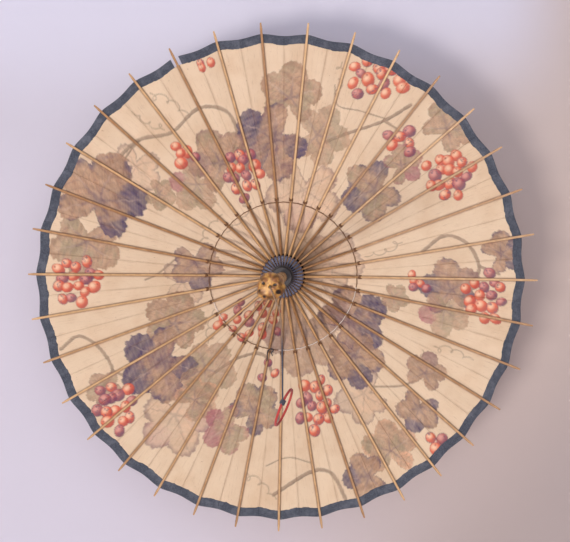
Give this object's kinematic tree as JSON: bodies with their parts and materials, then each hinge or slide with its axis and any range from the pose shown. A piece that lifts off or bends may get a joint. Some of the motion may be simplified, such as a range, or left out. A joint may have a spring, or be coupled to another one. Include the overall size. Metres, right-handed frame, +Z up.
{
  "type": "oil paper umbrella",
  "caption": "Open oil paper parasol: printed paper canopy on split bamboo ribs, notched sliding runner, bamboo pole with root knob, and a cord with a red ring.",
  "frame": {"origin": "on the pole's axis, in the middle of the bare hand grip", "axes": "the pole lies along Y with the knob towards -Y and the canopy towards +Y; +Z is up, +X to the right as seen from the knob"},
  "size_m": [0.629, 0.517, 0.628],
  "materials": {
    "bamboo_pole": "smooth polished bamboo",
    "bamboo_rib": "split bamboo, oiled",
    "bamboo_stretcher": "split bamboo, oiled",
    "indigo_wood": "stained turned wood, matt",
    "dark_lacquer": "dark lacquered wood",
    "root_bamboo": "polished bamboo root",
    "oiled_paper": "oiled mulberry paper, slightly see-through",
    "border_cloth": "thin slate-blue cloth",
    "thread": "twisted cotton thread",
    "dark_cord": "twisted dark cord",
    "red_ring": "stiff wrapped red cord",
    "brass": "rolled brass",
    "peg": "split bamboo peg"
  },
  "bodies": {
    "shaft": {"pole": "bamboo_pole", "top_hub": "indigo_wood", "hub_thread": "thread", "hub_peg": "peg", "top_cap": "dark_lacquer", "tip_button": "dark_lacquer", "stretcher_thread": "thread", "canopy": "oiled_paper", "border": "border_cloth", "root_knob": "root_bamboo", "knob_peg": "peg", "catch_pin": "brass", "hang_cord": "dark_cord", "cord_hitch": "dark_cord", "cord_ring": "red_ring"},
    "runner": {"runner": "indigo_wood", "runner_thread": "thread", "stretchers": "bamboo_stretcher"},
    "catch": {"catch": "brass"},
    "rib_01": {"rib_01": "bamboo_rib"},
    "rib_02": {"rib_02": "bamboo_rib"},
    "rib_03": {"rib_03": "bamboo_rib"},
    "rib_04": {"rib_04": "bamboo_rib"},
    "rib_05": {"rib_05": "bamboo_rib"},
    "rib_06": {"rib_06": "bamboo_rib"},
    "rib_07": {"rib_07": "bamboo_rib"},
    "rib_08": {"rib_08": "bamboo_rib"},
    "rib_09": {"rib_09": "bamboo_rib"},
    "rib_10": {"rib_10": "bamboo_rib"},
    "rib_11": {"rib_11": "bamboo_rib"},
    "rib_12": {"rib_12": "bamboo_rib"},
    "rib_13": {"rib_13": "bamboo_rib"},
    "rib_14": {"rib_14": "bamboo_rib"},
    "rib_15": {"rib_15": "bamboo_rib"},
    "rib_16": {"rib_16": "bamboo_rib"},
    "rib_17": {"rib_17": "bamboo_rib"},
    "rib_18": {"rib_18": "bamboo_rib"},
    "rib_19": {"rib_19": "bamboo_rib"},
    "rib_20": {"rib_20": "bamboo_rib"},
    "rib_21": {"rib_21": "bamboo_rib"},
    "rib_22": {"rib_22": "bamboo_rib"},
    "rib_23": {"rib_23": "bamboo_rib"},
    "rib_24": {"rib_24": "bamboo_rib"},
    "rib_25": {"rib_25": "bamboo_rib"},
    "rib_26": {"rib_26": "bamboo_rib"},
    "rib_27": {"rib_27": "bamboo_rib"},
    "rib_28": {"rib_28": "bamboo_rib"},
    "rib_29": {"rib_29": "bamboo_rib"},
    "rib_30": {"rib_30": "bamboo_rib"},
    "rib_31": {"rib_31": "bamboo_rib"},
    "rib_32": {"rib_32": "bamboo_rib"},
    "rib_33": {"rib_33": "bamboo_rib"},
    "rib_34": {"rib_34": "bamboo_rib"},
    "rib_35": {"rib_35": "bamboo_rib"}
  },
  "joints": [
    {"name": "runner_slide", "type": "slide", "parent": "shaft", "child": "runner", "axis": [0, -1, 0], "range_m": [0, 0.11012], "deforming": ["canopy", "border", "stretchers", "stretcher_thread"]},
    {"name": "catch_swing", "type": "hinge", "parent": "shaft", "child": "catch", "pos_m": [0.0036, 0.19176, 0], "axis": [0, 0, -1], "range_deg": [0, 9], "stiffness_Nm_per_rad": 0.004, "springref_deg": 9.17},
    {"name": "rib_01_hinge", "type": "hinge", "parent": "shaft", "child": "rib_01", "pos_m": [0.00211, 0.293, 0.01989], "axis": [0.9944, 0, -0.1054], "range_deg": [0, 68]},
    {"name": "rib_02_hinge", "type": "hinge", "parent": "shaft", "child": "rib_02", "pos_m": [0.00577, 0.293, 0.01915], "axis": [0.9574, 0, -0.2887], "range_deg": [0, 68]},
    {"name": "rib_03_hinge", "type": "hinge", "parent": "shaft", "child": "rib_03", "pos_m": [0.00923, 0.293, 0.01774], "axis": [0.8872, 0, -0.4615], "range_deg": [0, 68]},
    {"name": "rib_04_hinge", "type": "hinge", "parent": "shaft", "child": "rib_04", "pos_m": [0.01235, 0.293, 0.01573], "axis": [0.7864, 0, -0.6177], "range_deg": [0, 68]},
    {"name": "rib_05_hinge", "type": "hinge", "parent": "shaft", "child": "rib_05", "pos_m": [0.01504, 0.293, 0.01318], "axis": [0.6591, 0, -0.7521], "range_deg": [0, 68]},
    {"name": "rib_06_hinge", "type": "hinge", "parent": "shaft", "child": "rib_06", "pos_m": [0.0172, 0.293, 0.0102], "axis": [0.5101, 0, -0.8601], "range_deg": [0, 68]},
    {"name": "rib_07_hinge", "type": "hinge", "parent": "shaft", "child": "rib_07", "pos_m": [0.01877, 0.293, 0.0069], "axis": [0.3449, 0, -0.9386], "range_deg": [0, 68]},
    {"name": "rib_08_hinge", "type": "hinge", "parent": "shaft", "child": "rib_08", "pos_m": [0.01971, 0.293, 0.00339], "axis": [0.1695, 0, -0.9855], "range_deg": [0, 68]},
    {"name": "rib_09_hinge", "type": "hinge", "parent": "shaft", "child": "rib_09", "pos_m": [0.02, 0.293, -0.0002], "axis": [-0.0102, 0, -0.9999], "range_deg": [0, 68]},
    {"name": "rib_10_hinge", "type": "hinge", "parent": "shaft", "child": "rib_10", "pos_m": [0.01964, 0.293, -0.00376], "axis": [-0.1881, 0, -0.9821], "range_deg": [0, 68]},
    {"name": "rib_11_hinge", "type": "hinge", "parent": "shaft", "child": "rib_11", "pos_m": [0.01867, 0.293, -0.00718], "axis": [-0.3588, 0, -0.9334], "range_deg": [0, 68]},
    {"name": "rib_12_hinge", "type": "hinge", "parent": "shaft", "child": "rib_12", "pos_m": [0.01712, 0.293, -0.01034], "axis": [-0.517, 0, -0.856], "range_deg": [0, 68]},
    {"name": "rib_13_hinge", "type": "hinge", "parent": "shaft", "child": "rib_13", "pos_m": [0.01506, 0.293, -0.01316], "axis": [-0.6582, 0, -0.7528], "range_deg": [0, 68]},
    {"name": "rib_14_hinge", "type": "hinge", "parent": "shaft", "child": "rib_14", "pos_m": [0.01255, 0.293, -0.01557], "axis": [-0.7787, 0, -0.6275], "range_deg": [0, 68]},
    {"name": "rib_15_hinge", "type": "hinge", "parent": "shaft", "child": "rib_15", "pos_m": [0.00968, 0.293, -0.0175], "axis": [-0.8751, 0, -0.4839], "range_deg": [0, 68]},
    {"name": "rib_16_hinge", "type": "hinge", "parent": "shaft", "child": "rib_16", "pos_m": [0.00653, 0.293, -0.0189], "axis": [-0.9452, 0, -0.3266], "range_deg": [0, 68]},
    {"name": "rib_17_hinge", "type": "hinge", "parent": "shaft", "child": "rib_17", "pos_m": [0.0032, 0.293, -0.01974], "axis": [-0.9871, 0, -0.1601], "range_deg": [0, 68]},
    {"name": "rib_18_hinge", "type": "hinge", "parent": "shaft", "child": "rib_18", "pos_m": [-0.00022, 0.293, -0.02], "axis": [-0.9999, 0, 0.011], "range_deg": [0, 68]},
    {"name": "rib_19_hinge", "type": "hinge", "parent": "shaft", "child": "rib_19", "pos_m": [-0.00363, 0.293, -0.01967], "axis": [-0.9834, 0, 0.1817], "range_deg": [0, 68]},
    {"name": "rib_20_hinge", "type": "hinge", "parent": "shaft", "child": "rib_20", "pos_m": [-0.00695, 0.293, -0.01875], "axis": [-0.9377, 0, 0.3473], "range_deg": [0, 68]},
    {"name": "rib_21_hinge", "type": "hinge", "parent": "shaft", "child": "rib_21", "pos_m": [-0.01006, 0.293, -0.01728], "axis": [-0.8642, 0, 0.5031], "range_deg": [0, 68]},
    {"name": "rib_22_hinge", "type": "hinge", "parent": "shaft", "child": "rib_22", "pos_m": [-0.01289, 0.293, -0.01529], "axis": [-0.7645, 0, 0.6446], "range_deg": [0, 68]},
    {"name": "rib_23_hinge", "type": "hinge", "parent": "shaft", "child": "rib_23", "pos_m": [-0.01535, 0.293, -0.01283], "axis": [-0.6413, 0, 0.7673], "range_deg": [0, 68]},
    {"name": "rib_24_hinge", "type": "hinge", "parent": "shaft", "child": "rib_24", "pos_m": [-0.01735, 0.293, -0.00995], "axis": [-0.4976, 0, 0.8674], "range_deg": [0, 68]},
    {"name": "rib_25_hinge", "type": "hinge", "parent": "shaft", "child": "rib_25", "pos_m": [-0.01883, 0.293, -0.00675], "axis": [-0.3376, 0, 0.9413], "range_deg": [0, 68]},
    {"name": "rib_26_hinge", "type": "hinge", "parent": "shaft", "child": "rib_26", "pos_m": [-0.01972, 0.293, -0.00331], "axis": [-0.1657, 0, 0.9862], "range_deg": [0, 68]},
    {"name": "rib_27_hinge", "type": "hinge", "parent": "shaft", "child": "rib_27", "pos_m": [-0.02, 0.293, 0.00026], "axis": [0.0128, 0, 0.9999], "range_deg": [0, 68]},
    {"name": "rib_28_hinge", "type": "hinge", "parent": "shaft", "child": "rib_28", "pos_m": [-0.01963, 0.293, 0.00384], "axis": [0.1922, 0, 0.9813], "range_deg": [0, 68]},
    {"name": "rib_29_hinge", "type": "hinge", "parent": "shaft", "child": "rib_29", "pos_m": [-0.01861, 0.293, 0.00733], "axis": [0.3667, 0, 0.9303], "range_deg": [0, 68]},
    {"name": "rib_30_hinge", "type": "hinge", "parent": "shaft", "child": "rib_30", "pos_m": [-0.01696, 0.293, 0.0106], "axis": [0.5301, 0, 0.8479], "range_deg": [0, 68]},
    {"name": "rib_31_hinge", "type": "hinge", "parent": "shaft", "child": "rib_31", "pos_m": [-0.01473, 0.293, 0.01353], "axis": [0.6767, 0, 0.7363], "range_deg": [0, 68]},
    {"name": "rib_32_hinge", "type": "hinge", "parent": "shaft", "child": "rib_32", "pos_m": [-0.01198, 0.293, 0.01602], "axis": [0.8008, 0, 0.5989], "range_deg": [0, 68]},
    {"name": "rib_33_hinge", "type": "hinge", "parent": "shaft", "child": "rib_33", "pos_m": [-0.0088, 0.293, 0.01796], "axis": [0.8979, 0, 0.4402], "range_deg": [0, 68]},
    {"name": "rib_34_hinge", "type": "hinge", "parent": "shaft", "child": "rib_34", "pos_m": [-0.00531, 0.293, 0.01928], "axis": [0.9641, 0, 0.2657], "range_deg": [0, 68]},
    {"name": "rib_35_hinge", "type": "hinge", "parent": "shaft", "child": "rib_35", "pos_m": [-0.00163, 0.293, 0.01993], "axis": [0.9967, 0, 0.0816], "range_deg": [0, 68]}
  ],
  "couplings": [
    {"joint": "rib_01_hinge", "follows": "runner_slide", "rad_per_m": 10.773},
    {"joint": "rib_02_hinge", "follows": "runner_slide", "rad_per_m": 10.773},
    {"joint": "rib_03_hinge", "follows": "runner_slide", "rad_per_m": 10.773},
    {"joint": "rib_04_hinge", "follows": "runner_slide", "rad_per_m": 10.773},
    {"joint": "rib_05_hinge", "follows": "runner_slide", "rad_per_m": 10.773},
    {"joint": "rib_06_hinge", "follows": "runner_slide", "rad_per_m": 10.773},
    {"joint": "rib_07_hinge", "follows": "runner_slide", "rad_per_m": 10.773},
    {"joint": "rib_08_hinge", "follows": "runner_slide", "rad_per_m": 10.773},
    {"joint": "rib_09_hinge", "follows": "runner_slide", "rad_per_m": 10.773},
    {"joint": "rib_10_hinge", "follows": "runner_slide", "rad_per_m": 10.773},
    {"joint": "rib_11_hinge", "follows": "runner_slide", "rad_per_m": 10.773},
    {"joint": "rib_12_hinge", "follows": "runner_slide", "rad_per_m": 10.773},
    {"joint": "rib_13_hinge", "follows": "runner_slide", "rad_per_m": 10.773},
    {"joint": "rib_14_hinge", "follows": "runner_slide", "rad_per_m": 10.773},
    {"joint": "rib_15_hinge", "follows": "runner_slide", "rad_per_m": 10.773},
    {"joint": "rib_16_hinge", "follows": "runner_slide", "rad_per_m": 10.773},
    {"joint": "rib_17_hinge", "follows": "runner_slide", "rad_per_m": 10.773},
    {"joint": "rib_18_hinge", "follows": "runner_slide", "rad_per_m": 10.773},
    {"joint": "rib_19_hinge", "follows": "runner_slide", "rad_per_m": 10.773},
    {"joint": "rib_20_hinge", "follows": "runner_slide", "rad_per_m": 10.773},
    {"joint": "rib_21_hinge", "follows": "runner_slide", "rad_per_m": 10.773},
    {"joint": "rib_22_hinge", "follows": "runner_slide", "rad_per_m": 10.773},
    {"joint": "rib_23_hinge", "follows": "runner_slide", "rad_per_m": 10.773},
    {"joint": "rib_24_hinge", "follows": "runner_slide", "rad_per_m": 10.773},
    {"joint": "rib_25_hinge", "follows": "runner_slide", "rad_per_m": 10.773},
    {"joint": "rib_26_hinge", "follows": "runner_slide", "rad_per_m": 10.773},
    {"joint": "rib_27_hinge", "follows": "runner_slide", "rad_per_m": 10.773},
    {"joint": "rib_28_hinge", "follows": "runner_slide", "rad_per_m": 10.773},
    {"joint": "rib_29_hinge", "follows": "runner_slide", "rad_per_m": 10.773},
    {"joint": "rib_30_hinge", "follows": "runner_slide", "rad_per_m": 10.773},
    {"joint": "rib_31_hinge", "follows": "runner_slide", "rad_per_m": 10.773},
    {"joint": "rib_32_hinge", "follows": "runner_slide", "rad_per_m": 10.773},
    {"joint": "rib_33_hinge", "follows": "runner_slide", "rad_per_m": 10.773},
    {"joint": "rib_34_hinge", "follows": "runner_slide", "rad_per_m": 10.773},
    {"joint": "rib_35_hinge", "follows": "runner_slide", "rad_per_m": 10.773}
  ]
}
